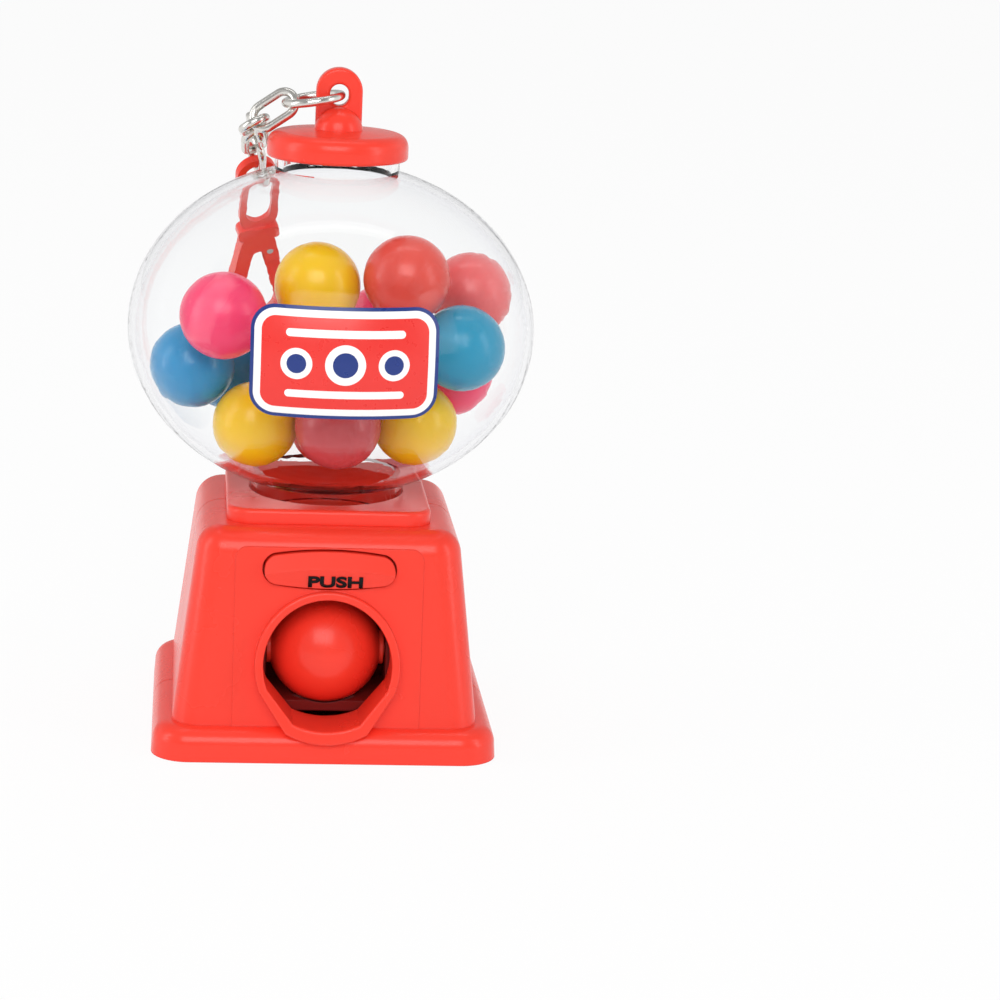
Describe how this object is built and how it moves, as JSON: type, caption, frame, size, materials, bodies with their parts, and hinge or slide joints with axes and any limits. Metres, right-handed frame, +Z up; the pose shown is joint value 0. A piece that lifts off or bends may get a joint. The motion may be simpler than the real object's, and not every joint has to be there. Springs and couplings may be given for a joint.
{
  "type": "toy gumball machine",
  "caption": "Pocket gumball machine with a clear globe, a red tapered base, a push bar that turns a domed ball gate, a scoop mouth, and a chain with a clip on the lift-off cap",
  "frame": {"origin": "centre of the base's underside", "axes": "+Z up, front faces -Y, +X to the right seen from the front"},
  "size_m": [0.0546, 0.0649, 0.0891],
  "materials": {
    "housing_red": "glossy moulded plastic",
    "inner_red": "plain moulded plastic",
    "clear_shell": "clear polished plastic",
    "bright_nickel": "bright plated wire",
    "plain_steel": "plain",
    "gum_yellow": "sugar glaze",
    "gum_pink": "sugar glaze",
    "gum_blue": "sugar glaze",
    "gum_teal": "sugar glaze",
    "gum_red": "sugar glaze",
    "gum_coral": "sugar glaze",
    "gum_mauve": "sugar glaze"
  },
  "bodies": {
    "base": {"front_shell": "housing_red", "rear_shell": "housing_red", "floor_plate": "housing_red", "shell_screws": "plain_steel", "neck_collar": "housing_red", "globe": "clear_shell", "chute_cradle": "inner_red", "button_spring_left": "plain_steel", "button_spring_right": "plain_steel", "gumballs_yellow": "gum_yellow", "gumballs_pink": "gum_pink", "gumballs_blue": "gum_blue", "gumballs_teal": "gum_teal", "gumballs_red": "gum_red", "gumballs_coral": "gum_coral", "gumballs_mauve": "gum_mauve"},
    "cap": {"cap": "housing_red"},
    "ring": {"jump_ring": "bright_nickel"},
    "chain_link_1": {"chain_link_1": "bright_nickel"},
    "chain_link_2": {"chain_link_2": "bright_nickel"},
    "chain_link_3": {"chain_link_3": "bright_nickel"},
    "chain_link_4": {"chain_link_4": "bright_nickel"},
    "chain_link_5": {"chain_link_5": "bright_nickel"},
    "clip": {"clip_body": "housing_red", "clip_pin": "plain_steel"},
    "lever": {"clip_lever": "housing_red"},
    "button": {"push_button": "housing_red"},
    "gate": {"ball_gate": "housing_red", "gate_crank_left": "inner_red", "gate_crank_right": "inner_red"}
  },
  "joints": [
    {"name": "cap_lift", "type": "slide", "parent": "base", "child": "cap", "axis": [0, 0, 1], "range_m": [0, 0.012]},
    {"name": "ring_swing", "type": "hinge", "parent": "cap", "child": "ring", "pos_m": [0.00029, 0.001, 0.0854], "axis": [0, 1, 0], "range_deg": [0, 45]},
    {"name": "chain_link_1_swing", "type": "hinge", "parent": "ring", "child": "chain_link_1", "pos_m": [-0.00709, 0.001, 0.0841], "axis": [0.4242, 0.8259, -0.3715], "range_deg": [0, 20]},
    {"name": "chain_link_2_swing", "type": "hinge", "parent": "chain_link_1", "child": "chain_link_2", "pos_m": [-0.01115, 0.00176, 0.08116], "axis": [-0.473, 0.2226, 0.8525], "range_deg": [0, 20]},
    {"name": "chain_link_3_swing", "type": "hinge", "parent": "chain_link_2", "child": "chain_link_3", "pos_m": [-0.01085, 0.0067, 0.08004], "axis": [0.8824, 0.0988, 0.46], "range_deg": [0, 30]},
    {"name": "chain_link_4_swing", "type": "hinge", "parent": "chain_link_3", "child": "chain_link_4", "pos_m": [-0.01059, 0.01153, 0.07851], "axis": [-0.4676, 0.4396, 0.7669], "range_deg": [0, 15]},
    {"name": "chain_link_5_swing", "type": "hinge", "parent": "chain_link_4", "child": "chain_link_5", "pos_m": [-0.01039, 0.01597, 0.07609], "axis": [0.8878, 0.2543, 0.3835], "range_deg": [0, 30]},
    {"name": "clip_swing", "type": "hinge", "parent": "chain_link_5", "child": "clip", "pos_m": [-0.01024, 0.02003, 0.07305], "axis": [0.4592, -0.544, -0.7023], "range_deg": [0, 30]},
    {"name": "clip_lever_press", "type": "hinge", "parent": "clip", "child": "lever", "pos_m": [-0.00827, 0.02788, 0.061], "axis": [-0.2425, 0.8129, 0.5296], "range_deg": [0, 20], "stiffness_Nm_per_rad": 0.02, "springref_deg": -11.46},
    {"name": "button_push", "type": "slide", "parent": "base", "child": "button", "axis": [0, 1, 0], "range_m": [0, 0.00368], "stiffness_N_per_m": 160, "springref_m": -0.002, "deforming": ["button_spring_left", "button_spring_right"]},
    {"name": "gate_turn", "type": "hinge", "parent": "base", "child": "gate", "pos_m": [0, -0.011, 0.01275], "axis": [-1, 0, 0], "range_deg": [0, 90]}
  ],
  "couplings": [
    {"joint": "gate_turn", "follows": "button_push", "rad_per_m": 427.19}
  ]
}
